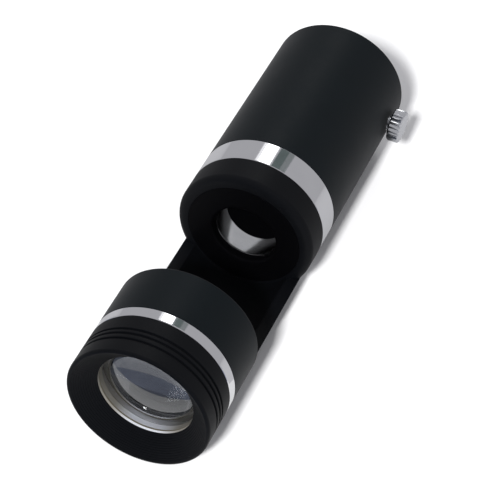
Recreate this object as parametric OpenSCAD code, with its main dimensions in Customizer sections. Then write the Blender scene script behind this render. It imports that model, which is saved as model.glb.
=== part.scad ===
// Dark-field loupe: a ten-power lens cell at one end of a cut-away tube, a polished
// reflector with a central stop behind the stone, and a lamp tube that clamps a torch.
//
// Every piece is drawn along its own +Z from the lens end to the lamp end, then laid down
// by lay_down(): +Y runs from the lens to the lamp, +Z comes out of the cut-away window,
// +X points at the thumb screw. The origin is the centre of the torch socket's mouth.

/* [Tube] */
// Outside radius of the whole tube
tube_r = 14; // [12:0.5:16]
// Overall length, lens end to lamp end
tube_length = 100; // [96:1:110]
// Wall thickness of the cut-away carrier
carrier_wall = 2; // [1.6:0.1:2.2]
// Width of the polished ring at the lens end
front_band_w = 2.3; // [1.5:0.1:2.3]
// Width of the polished ring at the lamp tube
rear_band_w = 5.8; // [4:0.2:6]

/* [Eyepiece] */
// Length of the gripped eyepiece ring
eyepiece_length = 9.1; // [8.8:0.1:9.4]
// Depth of the funnel in front of the lens
funnel_depth = 3.5; // [3:0.1:3.6]
// Radius of the clear opening in front of the lens
aperture_r = 9.4; // [9:0.1:9.6]
// Width of the flat rim around the funnel
rim_w = 0.6; // [0.4:0.1:1]
// Number of turned steps in the funnel
funnel_steps = 12; // [6:1:14]
// Width of each grip groove
groove_w = 0.5; // [0.3:0.1:0.6]
// Depth of each grip groove
groove_depth = 0.4; // [0.2:0.1:0.6]

/* [Lens] */
// Radius of the glass elements
lens_r = 9.85; // [9.7:0.05:9.85]
// Radius of curvature of the two outer glass faces
outer_curve = 24; // [22:1:30]
// Radius of curvature of the two cemented faces
inner_curve = 14; // [13:0.5:16]
// Thickness of each outer element on the axis
flint_t = 1.2; // [1:0.1:1.4]
// Thickness of the middle element on the axis
crown_t = 9.6; // [9.4:0.1:9.8]
// Outside radius of the lens barrel
barrel_r = 11.35; // [11.2:0.05:11.4]

/* [Window] */
// Distance from the lens end to the near edge of the cut-away window
window_start = 22.2; // [22:0.1:24]
// Length of the cut-away window
window_length = 26.1; // [24:0.1:26.3]
// Height left below the axis: the tube is milled flat down to this plane
cut_below_axis = 7; // [5:0.5:9]
// Rounding of the collar's edge at the lamp side of the window
collar_round = 1.4; // [0.6:0.1:1.6]
// Radius of the opening in the iris plate
iris_r = 6.6; // [6:0.1:7]
// Thickness of the iris plate
iris_t = 1.8; // [1.4:0.1:2]

/* [Reflector] */
// Radius of the reflector's narrow end, next to the iris
reflector_r = 6.4; // [6:0.1:6.5]
// Radius of the reflector's wide end, next to the lamp
reflector_wide_r = 10.6; // [10:0.1:10.8]
// Length of the reflector
reflector_length = 12.3; // [11.9:0.1:12.5]
// Radius of the central stop
stop_r = 6.3; // [5:0.1:6.4]
// Distance from the iris plate's back to the stop's front
stop_depth = 4.5; // [4.4:0.1:6.5]

/* [Lamp socket] */
// Radius of the socket that takes the torch head
socket_r = 12.2; // [12:0.1:12.4]
// Depth of the socket
socket_depth = 30.8; // [28:0.2:30.8]

/* [Thumb screw] */
// Distance from the lamp end to the screw's axis
screw_from_end = 8.2; // [6:0.2:12]
// Radius of the knurled head
head_r = 3.4; // [3.2:0.1:4.5]
// Height of the knurled head
head_h = 2.6; // [1.8:0.1:3]
// Gap under the head as shown, before it is screwed down
head_gap = 0.6; // [0.6:0.1:1]
// Number of knurl teeth
knurl_teeth = 22; // [18:2:32]
// Radius of the M3 shank
shank_r = 1.5; // [1.5:0.1:1.6]

/* [Fits] */
// Radial clearance of pieces that screw or turn in each other
running = 0.05; // [0.03:0.01:0.08]
// Radial clearance of pieces that are fixed together
snug = 0.02; // [0.01:0.01:0.03]

/* [Hidden] */
$fn = 96;
black = [0.09, 0.09, 0.10];
polished = [0.86, 0.86, 0.89];
glass_tint = [0.75, 0.82, 0.88, 0.5];
rubber = [0.05, 0.05, 0.05];

// Stations along the tube, measured from the lens end
front_band_start = eyepiece_length + 0.1;
carrier_start = front_band_start + front_band_w;
barrel_bore_end = window_start - 2.2;
window_end = window_start + window_length;
reflector_start = window_end + iris_t;
rear_band_start = window_end + 6.3;
lamp_tube_start = rear_band_start + rear_band_w;
glass_start = reflector_start + reflector_length;
glass_t = 1.5;
glass_ring_start = glass_start + glass_t;
glass_ring_t = 1.8;
spigot_end = glass_ring_start + glass_ring_t + 0.3;
socket_start = tube_length - socket_depth;
screw_station = tube_length - screw_from_end;

// Radii shared by mating pieces
barrel_bore_r = barrel_r + running;
carrier_bore_r = tube_r - carrier_wall;
plate_r = carrier_bore_r - 0.4;
reflector_seat_r = plate_r - 0.2;
spigot_r = carrier_bore_r + 0.6;
band_bore_r = spigot_r + snug;
field_stop_r = 9.8;
funnel_r = tube_r - rim_w;

// Eyepiece and barrel
grip_grooves = [3.4, 4.7, 5.8];
funnel_land = 0.15;
barrel_start = funnel_depth + funnel_land;
barrel_end = barrel_bore_end - 1;
barrel_inner_r = lens_r + running;
seat_ring_t = 1.95;
oring_r = 0.48;
oring_station = carrier_start + 4;
oring_centre_r = barrel_r - oring_r;
oring_gap = 0.05;

// Lens stations on the axis
front_vertex = funnel_depth + 0.2;
cement = 0.02;
crown_vertex = front_vertex + flint_t + cement;
rear_vertex = crown_vertex + crown_t + cement;
last_vertex = rear_vertex + flint_t;
flint_edge = 5.1;
lens_ring_start = last_vertex - 1.45;
lens_ring_t = 2;
lens_ring_r = 8.7;

// Stop, its pillar and screw
stop_start = reflector_start + stop_depth;
stop_t = 1.2;
post_r = 1.1;
stop_screw_r = 0.6;
stop_screw_head_r = 1.9;

// Torch seat
seat_aperture_r = 10;
seat_washer_r = 11.8;
seat_washer_t = 1.2;

// Thumb screw, measured outwards from the tube's axis
head_base = tube_r + head_gap;
pad_t = 1;
pad_r = 1.2;
pad_start = socket_r + 0.05;
shank_start = pad_start + pad_t;
shank_in_head = 1;
knurl_depth = 0.3;

// Lays a piece drawn along +Z down along +Y
module lay_down() {
    translate([0, -tube_length, 0]) rotate([-90, 0, 0]) children();
}

// A plain ring between two stations
module ring(z0, z1, inner, outer) {
    translate([0, 0, z0]) difference() {
        cylinder(r = outer, h = z1 - z0);
        translate([0, 0, -1]) cylinder(r = inner, h = z1 - z0 + 2);
    }
}

// A bore to be cut away between two stations
module bore(z0, z1, r) {
    translate([0, 0, z0]) cylinder(r = r, h = z1 - z0);
}

// Points of a quarter round, from angle a0 to a1
function quarter(r, z, radius, a0, a1) =
    [for (i = [0:6]) let (a = a0 + (a1 - a0) * i / 6) [r + radius * cos(a), z + radius * sin(a)]];

// Two spanner slots across a retaining ring's outer face
module spanner_slots(z, r) {
    for (side = [-1, 1])
        translate([side * r - 0.8, -0.5, z]) cube([1.6, 1, 2]);
}

module eyepiece_ring() {
    step_r = (funnel_r - aperture_r) / funnel_steps;
    step_z = funnel_depth / funnel_steps;
    ridge = 0.35;
    color(black) lay_down() difference() {
        rotate_extrude() polygon(concat(
            [[aperture_r, barrel_start], [aperture_r, funnel_depth]],
            [for (i = [funnel_steps - 1:-1:0]) each [
                [funnel_r - step_r * (i + 1), step_z * (i + 1 - ridge)],
                [funnel_r - step_r * i, step_z * i]
            ]],
            quarter(tube_r - 0.3, 0.3, 0.3, -90, 0),
            quarter(tube_r - 0.2, eyepiece_length - 0.2, 0.2, 0, 90),
            [[barrel_r + snug, eyepiece_length], [barrel_r + snug, barrel_start]]
        ));
        for (z = grip_grooves)
            ring(z - groove_w / 2, z + groove_w / 2, tube_r - groove_depth, tube_r + 1);
    }
}

module lens_barrel() {
    color(black) lay_down() difference() {
        ring(barrel_start, barrel_end, barrel_inner_r, barrel_r);
        ring(oring_station - oring_r - oring_gap, oring_station + oring_r + oring_gap,
            oring_centre_r - oring_r - oring_gap, barrel_r + 1);
    }
}

module lens_seat_ring() {
    color(polished) lay_down()
        ring(barrel_start, barrel_start + seat_ring_t, aperture_r, lens_r);
}

// A plain glass cylinder between two stations, to be cut by spheres
module lens_blank(z0, z1) {
    translate([0, 0, z0]) cylinder(r = lens_r, h = z1 - z0);
}

module front_flint_lens() {
    color(glass_tint) lay_down() difference() {
        intersection() {
            lens_blank(front_vertex, front_vertex + flint_edge);
            translate([0, 0, front_vertex + outer_curve]) sphere(r = outer_curve);
        }
        translate([0, 0, front_vertex + flint_t + inner_curve]) sphere(r = inner_curve);
    }
}

module middle_crown_lens() {
    color(glass_tint) lay_down() intersection() {
        lens_blank(crown_vertex - 1, crown_vertex + crown_t + 1);
        translate([0, 0, crown_vertex + inner_curve]) sphere(r = inner_curve);
        translate([0, 0, crown_vertex + crown_t - inner_curve]) sphere(r = inner_curve);
    }
}

module rear_flint_lens() {
    color(glass_tint) lay_down() difference() {
        intersection() {
            lens_blank(last_vertex - flint_edge, last_vertex);
            translate([0, 0, last_vertex - outer_curve]) sphere(r = outer_curve);
        }
        translate([0, 0, rear_vertex - inner_curve]) sphere(r = inner_curve);
    }
}

module lens_retaining_ring() {
    color(black) lay_down() difference() {
        ring(lens_ring_start, lens_ring_start + lens_ring_t, lens_ring_r, lens_r);
        spanner_slots(lens_ring_start + lens_ring_t - 0.8, (lens_ring_r + lens_r) / 2);
    }
}

module barrel_oring() {
    color(rubber) lay_down() translate([0, 0, oring_station])
        rotate_extrude() translate([oring_centre_r, 0]) circle(r = oring_r, $fn = 32);
}

module front_polished_ring() {
    edge = 0.15;
    color(polished) lay_down() rotate_extrude() polygon(concat(
        quarter(tube_r - edge, front_band_start + edge, edge, -90, 0),
        quarter(tube_r - edge, carrier_start - edge, edge, 0, 90),
        [[barrel_bore_r, carrier_start], [barrel_bore_r, front_band_start]]
    ));
}

// The tube's wall below the level that it is milled down to, between two stations
module shell(z0, z1) {
    intersection() {
        ring(z0, z1, carrier_bore_r, tube_r);
        translate([-tube_r, cut_below_axis, z0]) cube([2 * tube_r, tube_r, z1 - z0]);
    }
}

module lens_collar() {
    edge = 0.4;
    color(black) lay_down() difference() {
        union() {
            rotate_extrude() polygon(concat(
                [[field_stop_r, carrier_start], [tube_r, carrier_start]],
                quarter(tube_r - edge, window_start - edge, edge, 0, 90),
                [[field_stop_r, window_start]]
            ));
            shell(window_start - 1, window_start);
        }
        bore(carrier_start - 1, barrel_bore_end, barrel_bore_r);
    }
}

module stone_trough() {
    color(black) lay_down() shell(window_start, window_end);
}

module lamp_collar() {
    color(black) lay_down() difference() {
        union() {
            rotate_extrude() polygon(concat(
                [[reflector_seat_r, window_end]],
                quarter(tube_r - collar_round, window_end + collar_round, collar_round, -90, 0),
                [[tube_r, rear_band_start], [spigot_r, rear_band_start],
                 [spigot_r, spigot_end], [reflector_seat_r, spigot_end]]
            ));
            shell(window_end, window_end + collar_round + 1);
        }
        bore(window_end - 1, reflector_start, plate_r);
    }
}

module iris_plate() {
    lip = 0.5;
    color(black) lay_down() rotate_extrude() polygon(concat(
        quarter(iris_r + lip, window_end + lip, lip, 180, 270),
        [[plate_r - snug, window_end], [plate_r - snug, reflector_start],
         [iris_r, reflector_start]]
    ));
}

module reflector() {
    steps = 16;
    outer = reflector_seat_r - snug;
    color(polished) lay_down() rotate_extrude() polygon(concat(
        [for (i = [0:steps]) [
            sqrt(reflector_r ^ 2 + (reflector_wide_r ^ 2 - reflector_r ^ 2) * i / steps),
            reflector_start + reflector_length * i / steps
        ]],
        [[outer, glass_start], [outer, reflector_start]]
    ));
}

module stop_disc() {
    edge = 0.25;
    color(black) lay_down() rotate_extrude() polygon(concat(
        [[0, stop_start]],
        quarter(stop_r - edge, stop_start + edge, edge, -90, 0),
        [[stop_r, stop_start + stop_t], [0, stop_start + stop_t]]
    ));
}

module stop_pillar() {
    color(polished) lay_down() difference() {
        bore(stop_start + stop_t, glass_start, post_r);
        bore(glass_start - 2.7, glass_start + 1, stop_screw_r + snug);
    }
}

module stop_screw() {
    color(polished) lay_down() difference() {
        union() {
            bore(glass_start - 2.4, glass_ring_start + 0.5, stop_screw_r);
            bore(glass_ring_start, glass_ring_start + 1.1, stop_screw_head_r);
        }
        translate([-3, -0.25, glass_ring_start + 0.6]) cube([6, 0.5, 2]);
    }
}

module light_window() {
    color(glass_tint) lay_down()
        ring(glass_start, glass_ring_start, stop_screw_r + running, reflector_seat_r - snug);
}

module window_retaining_ring() {
    inner = 9.6;
    outer = reflector_seat_r - snug;
    color(black) lay_down() difference() {
        ring(glass_ring_start, glass_ring_start + glass_ring_t, inner, outer);
        spanner_slots(glass_ring_start + glass_ring_t - 0.8, (inner + outer) / 2);
    }
}

module rear_polished_ring() {
    edge = 0.15;
    color(polished) lay_down() rotate_extrude() polygon(concat(
        quarter(tube_r - edge, rear_band_start + edge, edge, -90, 0),
        quarter(tube_r - edge, lamp_tube_start - edge, edge, 0, 90),
        [[band_bore_r, lamp_tube_start], [band_bore_r, rear_band_start]]
    ));
}

module lamp_tube() {
    edge = 0.5;
    seat_end = spigot_end + snug;
    color(black) lay_down() difference() {
        rotate_extrude() polygon(concat(
            [[band_bore_r, lamp_tube_start], [tube_r, lamp_tube_start]],
            quarter(tube_r - edge, tube_length - edge, edge, 0, 90),
            [[socket_r, tube_length], [socket_r, socket_start],
             [seat_washer_r, socket_start], [seat_washer_r, socket_start - seat_washer_t],
             [seat_aperture_r, socket_start - seat_washer_t],
             [seat_aperture_r, seat_end], [band_bore_r, seat_end]]
        ));
        translate([0, 0, screw_station]) rotate([0, 90, 0])
            cylinder(r = shank_r + running, h = tube_r + 1, $fn = 48);
    }
}

module torch_seat_washer() {
    color(rubber) lay_down() ring(
        socket_start - seat_washer_t, socket_start, seat_aperture_r + 0.2, seat_washer_r - snug);
}

// Turns a screw piece drawn along its own +Z out along +X at the screw's station
module screw_axis() {
    translate([0, 0, screw_station]) rotate([0, 90, 0]) children();
}

module thumb_screw_head() {
    crown = 0.3;
    tooth_side = (knurl_depth + 0.2) * sqrt(2);
    color(polished) lay_down() screw_axis() difference() {
        rotate_extrude() polygon(concat(
            [[0, head_base], [head_r - 0.3, head_base]],
            quarter(head_r - 0.2, head_base + 0.2, 0.2, -90, 0),
            quarter(head_r - crown, head_base + head_h - crown, crown, 0, 90),
            [[0, head_base + head_h]]
        ));
        bore(head_base - 1, head_base + shank_in_head, shank_r + snug);
        for (i = [0:knurl_teeth - 1])
            rotate([0, 0, i * 360 / knurl_teeth])
                translate([head_r + 0.2, 0, head_base - 1]) rotate([0, 0, 45])
                    cube([tooth_side, tooth_side, 5]);
    }
}

module thumb_screw_shank() {
    color(polished) lay_down() screw_axis()
        translate([0, 0, shank_start])
            cylinder(r = shank_r, h = head_base + shank_in_head - shank_start, $fn = 48);
}

module pressure_pad() {
    color([0.9, 0.9, 0.86]) lay_down() screw_axis()
        translate([0, 0, pad_start]) cylinder(r = pad_r, h = pad_t, $fn = 48);
}

eyepiece_ring();
lens_barrel();
lens_seat_ring();
front_flint_lens();
middle_crown_lens();
rear_flint_lens();
lens_retaining_ring();
barrel_oring();
front_polished_ring();
lens_collar();
stone_trough();
lamp_collar();
iris_plate();
reflector();
stop_disc();
stop_pillar();
stop_screw();
light_window();
window_retaining_ring();
rear_polished_ring();
lamp_tube();
torch_seat_washer();
thumb_screw_head();
thumb_screw_shank();
pressure_pad();
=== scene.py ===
import math

import bpy
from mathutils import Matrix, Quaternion, Vector


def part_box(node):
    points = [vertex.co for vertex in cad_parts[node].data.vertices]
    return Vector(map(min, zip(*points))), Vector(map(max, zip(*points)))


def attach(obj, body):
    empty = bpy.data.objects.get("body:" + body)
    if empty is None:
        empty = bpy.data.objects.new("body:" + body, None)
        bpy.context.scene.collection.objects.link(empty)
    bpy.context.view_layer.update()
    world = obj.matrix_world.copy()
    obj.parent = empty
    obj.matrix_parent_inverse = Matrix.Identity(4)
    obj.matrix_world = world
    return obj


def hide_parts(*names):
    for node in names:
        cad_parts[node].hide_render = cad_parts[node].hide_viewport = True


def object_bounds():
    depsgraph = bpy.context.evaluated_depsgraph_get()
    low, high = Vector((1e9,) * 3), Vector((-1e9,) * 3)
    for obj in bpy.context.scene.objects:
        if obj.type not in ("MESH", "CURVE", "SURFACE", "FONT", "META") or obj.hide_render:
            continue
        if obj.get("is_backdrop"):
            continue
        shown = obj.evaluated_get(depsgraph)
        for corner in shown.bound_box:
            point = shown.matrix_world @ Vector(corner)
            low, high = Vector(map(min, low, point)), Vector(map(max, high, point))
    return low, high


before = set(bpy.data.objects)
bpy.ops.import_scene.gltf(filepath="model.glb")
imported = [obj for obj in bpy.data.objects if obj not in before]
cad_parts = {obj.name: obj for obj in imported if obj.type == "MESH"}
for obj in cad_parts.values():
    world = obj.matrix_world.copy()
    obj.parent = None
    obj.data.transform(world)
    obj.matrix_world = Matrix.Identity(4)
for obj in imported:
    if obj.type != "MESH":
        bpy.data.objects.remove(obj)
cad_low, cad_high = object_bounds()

# --------------------------------------------------------------------------------------------------
# Camera: a long lens looks at the loupe from its eyepiece end, from above and a little to the right, and
# leans a few degrees. It aims at a point just below the middle of the tube.
mm = 0.001
camera_azimuth = math.radians(18.7)
camera_elevation = math.radians(45.5)
camera_lean = math.radians(5.8)
camera_distance = 0.3862
camera_aim = Vector((0.0018, -0.0522, -0.0027))

camera_back = Vector((
    math.sin(camera_azimuth) * math.cos(camera_elevation),
    -math.cos(camera_azimuth) * math.cos(camera_elevation),
    math.sin(camera_elevation),
))
bpy.ops.object.camera_add(location=camera_aim + camera_back * camera_distance)
camera = bpy.context.object
camera.rotation_mode = "QUATERNION"
camera.rotation_quaternion = (-camera_back).to_track_quat("-Z", "Y") @ Quaternion((0, 0, 1), camera_lean)
camera.data.lens = 144
camera.data.sensor_width = 36
camera.data.clip_start = 0.01
bpy.context.scene.camera = camera

# --------------------------------------------------------------------------------------------------
# Lamp tube: the long sleeve that holds the torch, turned from aluminium bar, bead-blasted and anodised
# black. It screws onto the carrier's spigot, and the thumb screw passes through a tapped hole near its open
# end.
lens_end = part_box("eyepiece_ring")[0].y


def stations(node):
    """Where a CAD node starts and ends along the tube, in millimetres from the lens end."""
    low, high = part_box(node)
    return (low.y - lens_end) / mm, (high.y - lens_end) / mm


def radius(node):
    """Outside radius of a CAD node round the tube's axis, in millimetres."""
    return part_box(node)[1].z / mm


def rounded(outline, edge):
    """The outline with every sharp corner eased by edge, or by less where its sides are short."""
    eased = []
    for before, corner, after in zip(outline[-1:] + outline[:-1], outline, outline[1:] + outline[:1]):
        corner = Vector(corner)
        back, on = Vector(before) - corner, Vector(after) - corner
        if corner.x < 1e-6 or back.angle(-on, 0) < 0.45:
            eased.append(corner)
            continue
        back, on = (side.normalized() * min(edge, 0.45 * side.length) for side in (back, on))
        for t in (0, 0.3, 0.7, 1):
            eased.append(corner + back * (1 - t) ** 2 + on * t**2)
    return eased


def turned(name, outline, edge=0.12, base=None, steps=192):
    """Spins a closed outline of (radius, station) points, in millimetres, round the tube's axis."""
    base = lens_end if base is None else base
    points = [Vector((r * mm, base + s * mm, 0)) for r, s in rounded(outline, edge)]
    bpy.ops.object.select_all(action="DESELECT")
    bpy.ops.mesh.primitive_plane_add(size=mm)
    piece = bpy.context.object
    piece.name = piece.data.name = name
    bpy.ops.object.mode_set(mode="EDIT")
    bpy.ops.mesh.select_mode(type="VERT")
    bpy.ops.mesh.merge(type="CENTER")
    bpy.ops.transform.translate(value=points[0])
    for here, there in zip(points, points[1:] + points[:1]):
        bpy.ops.mesh.extrude_vertices_move(TRANSFORM_OT_translate={"value": there - here})
    bpy.ops.mesh.select_all(action="SELECT")
    bpy.ops.mesh.remove_doubles(threshold=1e-7)
    bpy.ops.mesh.spin(steps=steps, angle=2 * math.pi, center=(0, 0, 0), axis=(0, 1, 0))
    bpy.ops.mesh.select_all(action="SELECT")
    bpy.ops.mesh.remove_doubles(threshold=1e-7)
    bpy.ops.mesh.normals_make_consistent(inside=False)
    bpy.ops.object.mode_set(mode="OBJECT")
    return piece


def cut(piece, cutter, operation="DIFFERENCE"):
    """Cuts one piece with another, which is used up."""
    bpy.ops.object.select_all(action="DESELECT")
    bpy.context.view_layer.objects.active = piece
    knife = piece.modifiers.new("cut", "BOOLEAN")
    knife.operation = operation
    knife.solver = "EXACT"
    knife.object = cutter
    bpy.ops.object.modifier_apply(modifier=knife.name)
    bpy.data.objects.remove(cutter)


def smooth(piece, angle=32, bevel=0):
    """Smooth shading up to that angle, with flat faces kept flat, after an optional bevel on sharp edges."""
    bpy.ops.object.select_all(action="DESELECT")
    piece.select_set(True)
    bpy.context.view_layer.objects.active = piece
    if bevel:
        chamfer = piece.modifiers.new("edges", "BEVEL")
        chamfer.width = bevel * mm
        chamfer.segments = 2
        chamfer.limit_method = "ANGLE"
        chamfer.angle_limit = math.radians(35)
        bpy.ops.object.modifier_apply(modifier=chamfer.name)
    bpy.ops.object.shade_smooth_by_angle(angle=math.radians(angle))
    flat = piece.modifiers.new("flat faces", "WEIGHTED_NORMAL")
    flat.keep_sharp = True
    bpy.ops.object.modifier_apply(modifier=flat.name)


def fit(piece, finish, slot, body, *nodes):
    """Gives a piece its finish and its body, and lets it stand for its CAD nodes; the slot is not used."""
    piece.data.materials.clear()
    piece.data.materials.append(finish.material)
    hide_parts(*nodes)
    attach(piece, body)


class Wire:
    """A shader socket whose sums and products add Math nodes."""

    def __init__(self, tree, socket):
        self.tree, self.socket = tree, socket

    def math(self, operation, *others):
        node = self.tree.nodes.new("ShaderNodeMath")
        node.operation = operation
        for socket, value in zip(node.inputs, (self, *others)):
            plug(self.tree, socket, value)
        return Wire(self.tree, node.outputs[0])

    def __add__(self, other):
        return self.math("ADD", other)

    def __sub__(self, other):
        return self.math("SUBTRACT", other)

    def __mul__(self, other):
        return self.math("MULTIPLY", other)

    def __truediv__(self, other):
        return self.math("DIVIDE", other)

    def __rsub__(self, other):
        return self * -1 + other

    __radd__ = __add__
    __rmul__ = __mul__


def plug(tree, socket, value):
    """Links a Wire to a socket, or sets the socket's own value."""
    if isinstance(value, Wire):
        tree.links.new(value.socket, socket)
    else:
        socket.default_value = value


class Finish:
    """A material whose nodes all come from one method, add()."""

    def __init__(self, name, color, metallic, roughness, **fixed):
        self.material = bpy.data.materials.new(name)
        self.material.use_nodes = True
        self.tree = self.material.node_tree
        self.shader = self.tree.nodes["Principled BSDF"]
        self.set(Base_Color=(*color, 1), Metallic=metallic, Roughness=roughness, **fixed)

    def set(self, **values):
        for name, value in values.items():
            plug(self.tree, self.shader.inputs[name.replace("_", " ")], value)

    def add(self, kind, output=0, settings=(), numbered=(), **named):
        """A node of that kind: first its settings, then its sockets by number and by name."""
        node = self.tree.nodes.new("ShaderNode" + kind)
        for name, value in dict(settings).items():
            setattr(node, name, value)
        for number, value in dict(numbered).items():
            plug(self.tree, node.inputs[number], value)
        for name, value in named.items():
            plug(self.tree, node.inputs[name.replace("_", " ")], value)
        return Wire(self.tree, node.outputs[output])

    def place(self):
        """Object coordinates."""
        return self.add("TexCoord", "Object")

    def blotches(self, size, detail=2.0, stretch=(1, 1, 1)):
        """Noise from 0 to 1, in spots of that size in millimetres."""
        spot = self.add("Mapping", Vector=self.place(), Scale=stretch)
        return self.add("TexNoise", 0, Vector=spot, Scale=1 / (size * mm), Detail=detail)

    def along(self):
        """(station, distance from the tube's axis) in millimetres."""
        place = self.place()
        x, y, z = (self.add("SeparateXYZ", axis, Vector=place) for axis in "XYZ")
        return (y - lens_end) / mm, (x * x + z * z).math("SQRT") / mm

    def step(self, value, low, high):
        """0 below low, 1 above high, and a smooth step between them."""
        smoothly = {"interpolation_type": "SMOOTHSTEP"}
        return self.add("MapRange", 0, smoothly, Value=value, From_Min=low, From_Max=high)

    def turning(self, pitch, waver=0.6):
        """Fine lathe grooves, from 0 to 1: rings that lie pitch millimetres apart and waver a little."""
        station, distance = self.along()
        ring = (station + distance) * (2 * math.pi / pitch)
        return (ring + self.blotches(4, 1) * waver).math("SINE") * 0.5 + 0.5

    def tint(self, mask, low, high):
        """A colour that goes from low to high with the mask."""
        return self.add("Mix", 2, {"data_type": "RGBA"}, {0: mask, 6: (*low, 1), 7: (*high, 1)})

    def relief(self, height, depth):
        """Feeds a height from 0 to 1, depth millimetres deep, to the shader as a bump."""
        self.set(Normal=self.add("Bump", Height=height, Distance=depth * mm, Strength=1.0))


# Bead blasting leaves pits of about a tenth of a millimetre, and the dye takes a little unevenly.
def black_anodising(name, thin, thick, gloss):
    finish = Finish(name, thick, 0.0, 0.52, IOR=1.5, Specular_IOR_Level=gloss)
    pits = finish.blotches(0.16, 3)
    cloud = finish.blotches(7, 3)
    finish.set(
        Base_Color=finish.tint(cloud, thick, thin),
        Roughness=finish.step(cloud * 0.55 + pits * 0.45, 0.2, 0.8) * 0.12 + 0.46,
    )
    finish.relief(pits, 0.006)
    return finish


anodised = black_anodising("black anodised sleeve", (0.0034, 0.0057, 0.0073), (0.0020, 0.0036, 0.0047), 0.14)
anodised.set(Sheen_Weight=0.034, Sheen_Roughness=0.42)

tube_start, tube_end = stations("lamp_tube")
tube_r = radius("lamp_tube")
socket_start = stations("torch_seat_washer")[1]
socket_r = 12.2
washer_start = stations("torch_seat_washer")[0]
washer_r = radius("torch_seat_washer") + 0.02
spigot_end = stations("lamp_collar")[1]
spigot_r = 12.62
ledge_r = 10

lamp_tube = turned("lamp_tube_sleeve", [
    (spigot_r, tube_start), (tube_r, tube_start), (tube_r, tube_end - 0.5), (tube_r - 0.5, tube_end),
    (socket_r + 0.3, tube_end), (socket_r, tube_end - 0.3), (socket_r, socket_start),
    (washer_r, socket_start), (washer_r, washer_start), (ledge_r, washer_start),
    (ledge_r, spigot_end + 0.02), (spigot_r, spigot_end + 0.02),
])
low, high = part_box("thumb_screw_shank")
screw_y = (low.y + high.y) / 2
hole_r = 1.55
bpy.ops.object.select_all(action="DESELECT")
bpy.ops.mesh.primitive_cylinder_add(
    vertices=64, radius=hole_r * mm, depth=6 * mm, location=(tube_r * mm, screw_y, 0),
    rotation=(0, math.pi / 2, 0))
cut(lamp_tube, bpy.context.object)
smooth(lamp_tube)
fit(lamp_tube, anodised, "black_anodised", "housing", "lamp_tube")

# --------------------------------------------------------------------------------------------------
# Rear band: an aluminium ring turned and polished bright, which sits between the carrier's shoulder and the
# lamp tube and hides the joint.
polished = Finish("polished aluminium", (0.83, 0.83, 0.85), 1.0, 0.07)
lines = polished.turning(0.09)
haze = polished.blotches(5, 4)
polished.set(
    Base_Color=polished.tint(haze, (0.80, 0.80, 0.82), (0.87, 0.87, 0.88)),
    Roughness=haze * 0.06 + lines * 0.02 + 0.035,
)
polished.relief(lines, 0.00012)

band_start, band_end = stations("rear_polished_ring")
rear_band = turned("rear_polished_band", [
    (spigot_r, band_start), (tube_r - 0.1, band_start), (tube_r, band_start + 0.12),
    (tube_r, band_end - 0.12), (tube_r - 0.1, band_end), (spigot_r, band_end),
], edge=0.08)
smooth(rear_band)
fit(rear_band, polished, "polished_ring", "housing", "rear_polished_ring")

# --------------------------------------------------------------------------------------------------
# Cut-away carrier: one black anodised tube that joins the two ends. A collar carries the lens, the middle
# is milled flat below the axis to leave a trough, and a second collar carries the iris, the reflector and
# the glass.
carrier_start, window_start = stations("lens_collar")
plate_start, plate_end = stations("iris_plate")
window_end = plate_start
glass_start, glass_end = stations("light_window")
# A darker copy of the black anodising, used on the carrier and the eyepiece ring.
darker_anodising = black_anodising("darker black anodising", (0.0034, 0.0038, 0.0048), (0.0018, 0.0021, 0.0028), 0.13)
cut_level = -7
collar_wall = 2.6
bore_r = radius("front_polished_ring") - collar_wall
seat_r = radius("reflector") + 0.02
plate_r = radius("iris_plate") + 0.02
wall_r = tube_r - 2
edge_round, collar_round = 0.4, 1.4
lip_r, lip_depth = 9.8, 2.2
slip_r = spigot_r - 0.02


def arc(r, s, size, first, last, count=6):
    """Points of a round of that size about (r, s), from one angle to another in degrees."""
    turns = [math.radians(first + (last - first) * i / count) for i in range(count + 1)]
    return [(r + size * math.cos(a), s + size * math.sin(a)) for a in turns]


lens_collar = turned("lens_collar_turned", [
    (bore_r, carrier_start), (tube_r, carrier_start),
    *arc(tube_r - edge_round, window_start - edge_round, edge_round, 0, 90, 4),
    (lip_r, window_start), (lip_r, window_start - lip_depth), (bore_r, window_start - lip_depth),
])
lamp_collar = turned("lamp_collar_turned", [
    *arc(tube_r - collar_round, window_end + collar_round, collar_round, -90, 0, 10), (tube_r, band_start),
    (slip_r, band_start), (slip_r, spigot_end), (seat_r, spigot_end), (seat_r, plate_end),
    (plate_r, plate_end), (plate_r, window_end),
])
trough = turned("trough", [
    (wall_r, window_start - edge_round), (tube_r, window_start - edge_round),
    (tube_r, window_end + collar_round), (wall_r, window_end + collar_round),
])
bpy.ops.object.select_all(action="DESELECT")
mill = 40
window_middle = lens_end + (window_start + window_end) / 2 * mm
bpy.ops.mesh.primitive_cube_add(
    size=mill * mm, location=(0, window_middle, (cut_level + mill / 2) * mm))
cut(trough, bpy.context.object)
for part in (lens_collar, lamp_collar):
    smooth(part)
smooth(trough, bevel=0.15)
bpy.ops.object.select_all(action="DESELECT")
for part in (lens_collar, lamp_collar, trough):
    part.select_set(True)
bpy.context.view_layer.objects.active = trough
bpy.ops.object.join()
trough.name = trough.data.name = "cutaway_carrier_body"
fit(trough, darker_anodising, "black_anodised", "housing", "lens_collar", "stone_trough", "lamp_collar")
trough.data.materials.append(anodised.material)
for polygon in trough.data.polygons:
    outside = math.hypot(polygon.center.x, polygon.center.z) > (tube_r - 0.6) * mm
    if outside and polygon.center.y < lens_end + window_start * mm:
        polygon.material_index = 1

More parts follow.
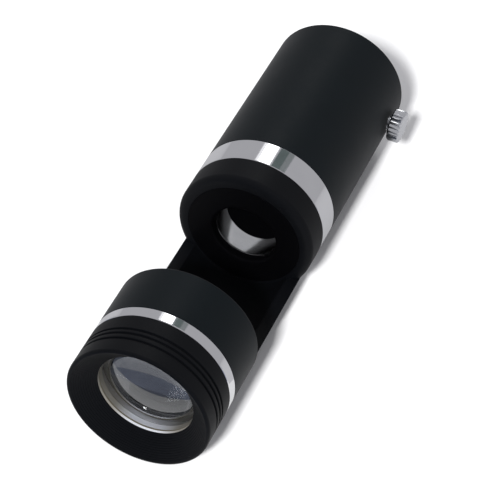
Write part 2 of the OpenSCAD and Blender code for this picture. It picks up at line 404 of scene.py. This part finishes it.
# --------------------------------------------------------------------------------------------------
# Iris plate: a black disc pressed into the lamp collar. Its hole has a rounded lip, and a dead flat finish
# keeps stray light out of the picture.
flat_black = Finish("flat black", (0.001, 0.001, 0.0012), 0.0, 0.5, Specular_IOR_Level=0.06)
grain = flat_black.blotches(0.22, 3)
flat_black.set(
    Base_Color=flat_black.tint(grain, (0.0006, 0.0006, 0.0009), (0.0016, 0.0016, 0.002)),
    Roughness=grain * 0.2 + 0.4,
)
flat_black.relief(grain, 0.01)

iris_r = 6.6
lip = 0.5
iris = turned("iris_disc", [
    *arc(iris_r + lip, window_end + lip, lip, 180, 270, 6), (plate_r - 0.02, window_end),
    (plate_r - 0.02, plate_end), (iris_r, plate_end),
], edge=0.06)
smooth(iris)
fit(iris, flat_black, "black_flat", "housing", "iris_plate")

# --------------------------------------------------------------------------------------------------
# Reflector: a flared aluminium ring behind the iris whose bore is polished, so that the torch lights the
# stone from the sides.
mirror = Finish("polished bore", (0.86, 0.86, 0.87), 1.0, 0.12)
rings = mirror.turning(0.16, 1.2)
bloom = mirror.blotches(2.5, 3)
mirror.set(
    Base_Color=mirror.tint(bloom, (0.80, 0.80, 0.81), (0.90, 0.90, 0.91)),
    Roughness=bloom * 0.12 + 0.11,
)
mirror.relief(rings, 0.0004)

mirror_start, mirror_end = stations("reflector")
narrow_r, wide_r = 6.4, 10.6
flare = []
for i in range(21):
    flare_r = math.sqrt(narrow_r**2 + (wide_r**2 - narrow_r**2) * i / 20)
    flare.append((flare_r, mirror_start + (mirror_end - mirror_start) * i / 20))
reflector = turned("reflector_ring", [
    *flare, (seat_r - 0.02, mirror_end), (seat_r - 0.02, mirror_start),
], edge=0.05)
smooth(reflector)
fit(reflector, mirror, "reflector_mirror", "housing", "reflector")

# --------------------------------------------------------------------------------------------------
# Central stop: a flat black disc in front of the lamp, so that no direct light reaches the lens. A brass
# pillar carries it, and a slotted steel screw holds the pillar to the glass.
stop_start, stop_end = stations("stop_disc")
stop_r = radius("stop_disc")
stop = turned("central_stop", [
    (0, stop_start), (stop_r - 0.25, stop_start), (stop_r, stop_start + 0.25), (stop_r, stop_end),
    (0, stop_end),
], edge=0.15)
smooth(stop)
fit(stop, flat_black, "black_flat", "housing", "stop_disc")

brass = Finish("turned brass", (0.66, 0.47, 0.19), 1.0, 0.26)
tool_marks = brass.turning(0.12)
tarnish = brass.blotches(0.9, 3)
brass.set(
    Base_Color=brass.tint(tarnish, (0.52, 0.35, 0.13), (0.72, 0.53, 0.23)),
    Roughness=tarnish * 0.2 + 0.2,
)
brass.relief(tool_marks, 0.001)
pillar_start, pillar_end = stations("stop_pillar")
pillar_r, tapped_r, tapped_depth = 1.1, 0.62, 2.7
pillar = turned("stop_post", [
    (0, pillar_start), (pillar_r, pillar_start), (pillar_r, pillar_end), (tapped_r, pillar_end),
    (tapped_r, pillar_end - tapped_depth), (0, pillar_end - tapped_depth),
], steps=64)
smooth(pillar)
fit(pillar, brass, "brass", "housing", "stop_pillar")

nickel = Finish("nickel plate", (0.82, 0.83, 0.85), 1.0, 0.24)
pores = nickel.blotches(0.3, 3)
wear = nickel.blotches(1.6, 2)
nickel.set(
    Base_Color=nickel.tint(wear, (0.74, 0.75, 0.77), (0.88, 0.89, 0.91)),
    Roughness=wear * 0.14 + pores * 0.06 + 0.14,
)
nickel.relief(pores, 0.003)
screw_start, screw_end = stations("stop_screw")
screw_r, cap_r, chamfer = 0.6, 1.9, 0.3
stop_screw = turned("stop_screw_turned", [
    (0, screw_start), (screw_r, screw_start), (screw_r, glass_end), (cap_r, glass_end),
    (cap_r, screw_end - chamfer), (cap_r - chamfer, screw_end), (0, screw_end),
], steps=64)
bpy.ops.object.select_all(action="DESELECT")
bpy.ops.mesh.primitive_cube_add(size=1, location=(0, lens_end + (screw_end + 0.5) * mm, 0))
bpy.context.object.scale = (6 * mm, 2 * mm, 0.5 * mm)
cut(stop_screw, bpy.context.object)
smooth(stop_screw)
fit(stop_screw, nickel, "bright_steel", "housing", "stop_screw")

# --------------------------------------------------------------------------------------------------
# Light window: a clear glass disc that closes the lamp end of the carrier. A black ring with two spanner
# slots screws in behind it, and a rubber washer stops the torch's rim against the sleeve.
clear = Finish("clear glass", (0.97, 0.985, 0.98), 0.0, 0.0, Transmission_Weight=1.0, IOR=1.5)
clear.set(Roughness=clear.blotches(3, 3) * 0.03)
hole_in_glass = 0.65
glass = turned("light_glass", [
    (hole_in_glass, glass_start), (seat_r - 0.02, glass_start), (seat_r - 0.02, glass_end),
    (hole_in_glass, glass_end),
], edge=0.1)
smooth(glass)
fit(glass, clear, "window_glass", "housing", "light_window")


def spanner_slots(piece, face, r):
    """Two slots across the ring's face, on opposite sides, for a pin spanner."""
    for side in (-1, 1):
        bpy.ops.object.select_all(action="DESELECT")
        bpy.ops.mesh.primitive_cube_add(size=1, location=(side * r * mm, lens_end + face * mm, 0))
        bpy.context.object.scale = (4 * mm, 1.6 * mm, mm)
        cut(piece, bpy.context.object)


ring_start, ring_end = stations("window_retaining_ring")
ring_r = 9.6
glass_ring = turned("glass_ring", [
    (ring_r, ring_start), (seat_r - 0.02, ring_start), (seat_r - 0.02, ring_end), (ring_r, ring_end),
], edge=0.15)
spanner_slots(glass_ring, ring_end, 10.5)
smooth(glass_ring)
fit(glass_ring, anodised, "black_anodised", "housing", "window_retaining_ring")

rubber = Finish("black rubber", (0.018, 0.018, 0.018), 0.0, 0.62, Specular_IOR_Level=0.4)
bloom_marks = rubber.blotches(1.2, 4)
skin = rubber.blotches(0.12, 2)
rubber.set(
    Base_Color=rubber.tint(bloom_marks, (0.013, 0.013, 0.013), (0.028, 0.028, 0.027)),
    Roughness=bloom_marks * 0.2 + 0.5,
)
rubber.relief(skin, 0.008)
washer_bore = ledge_r + 0.2
washer = turned("rubber_washer", [
    (washer_bore, washer_start), (washer_r - 0.04, washer_start), (washer_r - 0.04, socket_start),
    (washer_bore, socket_start),
], edge=0.25)
smooth(washer)
fit(washer, rubber, "rubber", "housing", "torch_seat_washer")

# --------------------------------------------------------------------------------------------------
# Front band: a narrow ring of polished aluminium at the mouth of the lens collar. Its edges are broken by
# small bright chamfers, and it is pressed on against the collar.
front_start, front_end = stations("front_polished_ring")
front_band = turned("front_polished_band", [
    (bore_r, front_start), (tube_r - 0.12, front_start), (tube_r, front_start + 0.15),
    (tube_r, front_end - 0.12), (tube_r - 0.1, front_end), (bore_r, front_end),
], edge=0.08)
smooth(front_band)
fit(front_band, polished, "polished_ring", "housing", "front_polished_ring")

# --------------------------------------------------------------------------------------------------
# Lens barrel: a black sleeve with a groove for the O-ring that drags in the collar's bore. The lens drops
# in against a bare aluminium seat ring, and a slotted ring holds it from behind.
barrel_start, barrel_end = stations("lens_barrel")
barrel_r = radius("lens_barrel")
low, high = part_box("barrel_oring")
seal = ((low.y + high.y) / 2 - lens_end) / mm
lens_r, clear_r, cord_r = 9.85, 9.4, 0.48
sleeve_r = lens_r + 0.05
groove_r, groove_half = barrel_r - 1.01, 0.53
barrel = turned("lens_sleeve", [
    (sleeve_r, barrel_start), (barrel_r, barrel_start), (barrel_r, seal - groove_half),
    (groove_r, seal - groove_half), (groove_r, seal + groove_half), (barrel_r, seal + groove_half),
    (barrel_r, barrel_end), (sleeve_r, barrel_end),
])
smooth(barrel)
fit(barrel, anodised, "black_anodised", "eyepiece", "lens_barrel")

o_ring = turned("o_ring", arc(radius("barrel_oring") - cord_r, seal, cord_r, 0, 350, 35), edge=0)
smooth(o_ring, angle=60)
fit(o_ring, rubber, "rubber", "focus_seal", "barrel_oring")

seat_start, seat_end = stations("lens_seat_ring")
bare = Finish("bare aluminium", (0.74, 0.75, 0.79), 1.0, 0.3)
dull = bare.blotches(1.5, 3)
depth, _ = bare.along()
across = bare.add("SeparateXYZ", 0, Vector=bare.place()).math("ABSOLUTE")
# Painted shade: the seat ring turns dark brown towards its left and right sides, so only its bottom stays
# bright. The cement band deeper in the ring takes the same brown as a real stain.
painted_side_shade = bare.step(across, 2.5 * mm, 7 * mm)
behind = bare.step(depth, seat_start + 0.4, seat_start + 0.5)
cement = behind * (1 - bare.step(depth, seat_start + 0.7, seat_start + 0.85))
cement_and_painted_shade = (painted_side_shade * 0.75).math("MAXIMUM", cement) + dull * 0.1
bare.set(
    Base_Color=bare.tint(cement_and_painted_shade, (0.76, 0.78, 0.84), (0.27, 0.24, 0.17)),
    Metallic=behind * 0.55 + 0.15,
    Roughness=dull * 0.15 + 0.35,
)
bare.relief(bare.turning(0.1), 0.0002)
seat_ring = turned("lens_seat", [
    (clear_r, seat_start), (lens_r, seat_start), (lens_r, seat_end), (clear_r, seat_end),
], edge=0.06)
smooth(seat_ring)
fit(seat_ring, bare, "bare_aluminium", "eyepiece", "lens_seat_ring")

lock_start, lock_end = stations("lens_retaining_ring")
lock_r = 8.7
lens_ring = turned("lens_lock_ring", [
    (lock_r, lock_start), (lens_r, lock_start), (lens_r, lock_end), (lock_r, lock_end),
], edge=0.12)
spanner_slots(lens_ring, lock_end, 9.3)
smooth(lens_ring)
fit(lens_ring, anodised, "black_anodised", "eyepiece", "lens_retaining_ring")

# --------------------------------------------------------------------------------------------------
# Lens: a cemented triplet of about ten powers, two flints with a thick crown between them. The outer faces
# are polished and coated, and the cylindrical edges are ground and left grey.
coated = Finish(
    "coated glass", (0.965, 0.975, 0.985), 0.0, 0.0, Transmission_Weight=1.0, IOR=1.6,
    Coat_Weight=1.0, Coat_IOR=1.75, Coat_Roughness=0.02, Specular_Tint=(0.82, 0.9, 1, 1))
coated.set(Coat_Weight=coated.blotches(4, 3) * 0.3 + 0.8)
ground = Finish("ground glass edge", (0.4, 0.4, 0.42), 1.0, 0.5)
height, _ = ground.along()
front_vertex, _ = stations("front_flint_lens")
_, rear_vertex = stations("rear_flint_lens")
middle = (front_vertex + rear_vertex) / 2
in_crown = ground.step((height - middle).math("ABSOLUTE"), 0.95, 0.75)
ground.set(
    Base_Color=ground.tint(in_crown, (0.40, 0.41, 0.43), (0.34, 0.34, 0.37)),
    Roughness=ground.blotches(0.3, 3) * 0.2 + 0.35,
)

curve_r = 24


def face(vertex, sense):
    """Points of a spherical face from the axis to the rim."""
    radii = [lens_r * i / 24 for i in range(25)]
    return [(r, vertex + sense * (curve_r - math.sqrt(curve_r**2 - r**2))) for r in radii]


lens = turned("lens_triplet", [*face(front_vertex, 1), *reversed(face(rear_vertex, -1))], edge=0.12)
fit(lens, coated, "lens_glass", "eyepiece", "front_flint_lens", "middle_crown_lens", "rear_flint_lens")
lens.data.materials.append(ground.material)
for polygon in lens.data.polygons:
    if abs(polygon.normal.y) < 0.2:
        polygon.material_index = 1
smooth(lens)

# --------------------------------------------------------------------------------------------------
# Eyepiece ring: the part that is turned to focus. It is black anodised, with a funnel of fine baffle ridges
# that leads down to the glass, and three grip grooves round the outside.
_, eye_end = stations("eyepiece_ring")
eye_r = radius("eyepiece_ring")
rim_r, throat_r = eye_r - 0.6, clear_r
throat = barrel_start - 0.15
ridges, rim_round = 12, 0.55
funnel = []
for i in range(ridges):
    step_r, step_s = (rim_r - throat_r) / ridges, throat / ridges
    funnel += [(rim_r - step_r * i, step_s * i), (rim_r - step_r * (i + 1), step_s * (i + 0.65))]
grooves = []
grip_r, half = eye_r - 0.4, 0.25
for groove in (5.8, 4.7, 3.4):
    near, far = groove + half, groove - half
    grooves += [(eye_r, near), (grip_r, near), (grip_r, far), (eye_r, far)]
eyepiece = turned("eyepiece_grip", [
    *funnel, (throat_r, throat), (throat_r, barrel_start), (barrel_r + 0.02, barrel_start),
    (barrel_r + 0.02, eye_end), (eye_r, eye_end), *grooves,
    *arc(eye_r - rim_round, rim_round, rim_round, 0, -90, 6),
], edge=0.1)
smooth(eyepiece, angle=28)
fit(eyepiece, darker_anodising, "black_anodised", "eyepiece", "eyepiece_ring")

# --------------------------------------------------------------------------------------------------
# Thumb screw: an M3 screw with a coarse knurled head, steel with a dull nickel plate. Turning it presses a
# nylon pad against the torch.
low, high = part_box("thumb_screw_head")
head_base, head_top = low.x / mm, high.x / mm
head_r = (high.z - low.z) / 2 / mm
teeth = 22
bpy.ops.object.select_all(action="DESELECT")
bpy.ops.mesh.primitive_cylinder_add(
    vertices=4 * teeth, radius=head_r * mm, depth=(head_top - head_base - 0.5) * mm,
    location=(0, 0, (head_top + head_base) / 2 * mm))
head = bpy.context.object
head.name = head.data.name = "thumb_screw_knob"
bpy.ops.object.transform_apply(location=True, rotation=True, scale=True)
# Each gap between two teeth is pressed in deep at its middle and half as deep beside it.
for place, depth in ((0, 0.42), (0.25, 0.2)):
    for element in (*head.data.edges, *head.data.polygons):
        element.select = False
    for vertex in head.data.vertices:
        spoke = math.atan2(vertex.co.y, vertex.co.x) * teeth / (2 * math.pi)
        vertex.select = abs(abs(spoke - round(spoke)) - place) < 0.1
    bpy.ops.object.mode_set(mode="EDIT")
    bpy.ops.mesh.select_mode(type="VERT")
    shrink = 1 - depth / head_r
    bpy.ops.transform.resize(value=(shrink, shrink, 1), center_override=(0, 0, 0))
    bpy.ops.object.mode_set(mode="OBJECT")
for side in (1, -1):
    for polygon in head.data.polygons:
        polygon.select = polygon.normal.z * side > 0.9
    bpy.ops.object.mode_set(mode="EDIT")
    bpy.ops.mesh.select_mode(type="FACE")
    bpy.ops.mesh.extrude_region_move(TRANSFORM_OT_translate={"value": (0, 0, side * 0.25 * mm)})
    bpy.ops.transform.resize(value=(0.9, 0.9, 1), center_override=(0, 0, 0))
    bpy.ops.mesh.select_all(action="DESELECT")
    bpy.ops.object.mode_set(mode="OBJECT")
bpy.ops.object.mode_set(mode="EDIT")
bpy.ops.mesh.select_all(action="SELECT")
bpy.ops.mesh.normals_make_consistent(inside=False)
bpy.ops.object.mode_set(mode="OBJECT")
head.rotation_euler = (0, math.pi / 2, 0)
head.location = (0, screw_y, 0)
bpy.ops.object.transform_apply(location=True, rotation=True, scale=True)
smooth(head, angle=28, bevel=0.07)
fit(head, nickel, "bright_steel", "thumb_screw", "thumb_screw_head")

low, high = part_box("thumb_screw_shank")
pitch = 0.5
root_r, crest = 1.2, 0.28
turns = int((high.x - low.x) / mm / pitch)
bpy.ops.object.select_all(action="DESELECT")
bpy.ops.mesh.primitive_plane_add(size=mm)
shank = bpy.context.object
shank.name = shank.data.name = "thumb_screw_thread"
bpy.ops.object.mode_set(mode="EDIT")
bpy.ops.mesh.select_mode(type="VERT")
bpy.ops.mesh.merge(type="CENTER")
bpy.ops.transform.translate(value=(root_r * mm, 0, low.x))
for outwards, along in ((crest, 0.45), (0, 0.1), (-crest, 0.45)):
    move = (outwards * mm, 0, pitch * along * mm)
    bpy.ops.mesh.extrude_vertices_move(TRANSFORM_OT_translate={"value": move})
bpy.ops.object.mode_set(mode="OBJECT")
helix = shank.modifiers.new("thread", "SCREW")
helix.axis = "Z"
helix.screw_offset = pitch * mm
helix.iterations = turns - 1
helix.steps = helix.render_steps = 48
helix.use_merge_vertices = True
helix.merge_threshold = 1e-6
bpy.ops.object.modifier_apply(modifier=helix.name)
bpy.ops.mesh.primitive_cylinder_add(
    vertices=48, radius=(root_r + 0.02) * mm, depth=high.x - low.x, location=(0, 0, (low.x + high.x) / 2))
shank.select_set(True)
bpy.context.view_layer.objects.active = shank
bpy.ops.object.join()
shank.rotation_euler = (0, math.pi / 2, 0)
shank.location = (0, screw_y, 0)
bpy.ops.object.transform_apply(location=True, rotation=True, scale=True)
bpy.ops.object.mode_set(mode="EDIT")
bpy.ops.mesh.select_all(action="SELECT")
bpy.ops.mesh.normals_make_consistent(inside=False)
bpy.ops.object.mode_set(mode="OBJECT")
smooth(shank, angle=25)
fit(shank, nickel, "bright_steel", "thumb_screw", "thumb_screw_shank")

nylon = Finish("natural nylon", (0.78, 0.77, 0.70), 0.0, 0.42)
milky = nylon.blotches(0.5, 3)
nylon.set(
    Base_Color=nylon.tint(milky, (0.70, 0.69, 0.61), (0.82, 0.81, 0.75)),
    Roughness=milky * 0.2 + 0.35,
)
nylon.relief(nylon.blotches(0.15, 2), 0.004)
low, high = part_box("pressure_pad")
pad_r = (high.z - low.z) / 2 / mm
pad = turned("nylon_pad", [
    (0, low.x / mm), (pad_r, low.x / mm), (pad_r, high.x / mm), (0, high.x / mm),
], edge=0.2, base=0, steps=64)
pad.rotation_euler = (0, 0, -math.pi / 2)
pad.location = (0, screw_y, 0)
bpy.ops.object.select_all(action="DESELECT")
pad.select_set(True)
bpy.context.view_layer.objects.active = pad
bpy.ops.object.transform_apply(location=True, rotation=True, scale=True)
smooth(pad)
fit(pad, nylon, "nylon", "clamp_pad", "pressure_pad")

# --------------------------------------------------------------------------------------------------
# Studio: a white table, a soft lamp to the left of the camera and a window behind the loupe, which the
# polished bands show as one sharp white patch. Cards that only gloss and glass see stand for the window's
# frame, the dark end of the room, the viewer, and the paper close to the eyepiece.
bpy.ops.object.select_all(action="DESELECT")
bpy.ops.mesh.primitive_plane_add(size=1.6, location=(0, lens_end / 2, cad_low.z))
table_top = bpy.context.object
table_top.name = "table_top"
table = Finish("white table", (0.95, 0.95, 0.95), 0.0, 0.6, Specular_IOR_Level=0.0)
seen = table.add("LightPath", "Is Camera Ray")
table.set(Base_Color=table.tint(seen, (0.42, 0.42, 0.43), (0.955, 0.955, 0.955)))
table_top.data.materials.append(table.material)
table_top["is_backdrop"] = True


def area_light(name, direction, distance, width, height, strength):
    """A soft box in that direction from the loupe's middle, of that brightness."""
    aim = Vector((0, lens_end / 2, 0))
    direction = Vector(direction).normalized()
    bpy.ops.object.light_add(type="AREA", location=aim + direction * distance)
    light = bpy.context.object
    light.name = name
    light.rotation_euler = direction.to_track_quat("Z", "Y").to_euler()
    light.data.shape = "RECTANGLE"
    light.data.size, light.data.size_y = width, height
    light.data.energy = strength * math.pi * width * height
    return light


key = area_light("key", (0.065, -0.75, 0.66), 2.5, 0.24, 0.24, 444)
key.visible_glossy = False
area_light("window", (-0.19, 0.67, 0.71), 1.0, 0.22, 0.44, 2.2)
area_light("curtain", (-0.21, 0.67, 0.71), 1.02, 0.30, 0.44, 0.6)


def gloss_card(name, direction, distance, width, height, color):
    """A card in that direction from the loupe's middle, which only gloss and glass see."""
    direction = Vector(direction).normalized()
    bpy.ops.object.select_all(action="DESELECT")
    bpy.ops.mesh.primitive_plane_add(size=1, location=Vector((0, lens_end / 2, 0)) + direction * distance)
    card = bpy.context.object
    card.name = name
    card.scale = (width, height, 1)
    card.rotation_euler = direction.to_track_quat("Z", "Y").to_euler()
    card.visible_camera = card.visible_shadow = card.visible_diffuse = False
    card.data.materials.append(Finish(name, color, 0.0, 1.0, Specular_IOR_Level=0.0).material)
    card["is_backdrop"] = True
    return card


gloss_card("window_frame", (0.055, 0.68, 0.72), 0.8, 0.145, 0.34, (0.13, 0.16, 0.155))
gloss_card("window_reveal", (0.14, 0.68, 0.72), 0.82, 0.2, 0.34, (0.25, 0.27, 0.27))
gloss_card("room_end", (-0.25, -1, 0.3), 0.9, 1.6, 0.7, (0.05, 0.06, 0.08))

# The lens shows the paper under the eyepiece up to paper_edge, and the viewer's darker shape beyond it.
paper_edge = lens_end - 10 * mm
viewer_size, paper_length = 0.5, 0.04
viewer = gloss_card("viewer", (0, 0, 1), 0, viewer_size, viewer_size, (0.19, 0.21, 0.27))
viewer.location = (0, paper_edge - viewer_size / 2, cad_low.z + 0.5 * mm)
paper = gloss_card("near_paper", (0, 0, 1), 0, 0.14, paper_length, (0.62, 0.62, 0.62))
paper.location = (-10 * mm, paper_edge + paper_length / 2, cad_low.z + 0.3 * mm)

world = bpy.data.worlds.new("studio")
bpy.context.scene.world = world
world.use_nodes = True
sky = world.node_tree.nodes["Background"]
sky.inputs["Color"].default_value = (0.40, 0.40, 0.42, 1)
sky.inputs["Strength"].default_value = 1.0
bpy.context.scene.view_settings.view_transform = "Standard"

low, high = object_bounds()
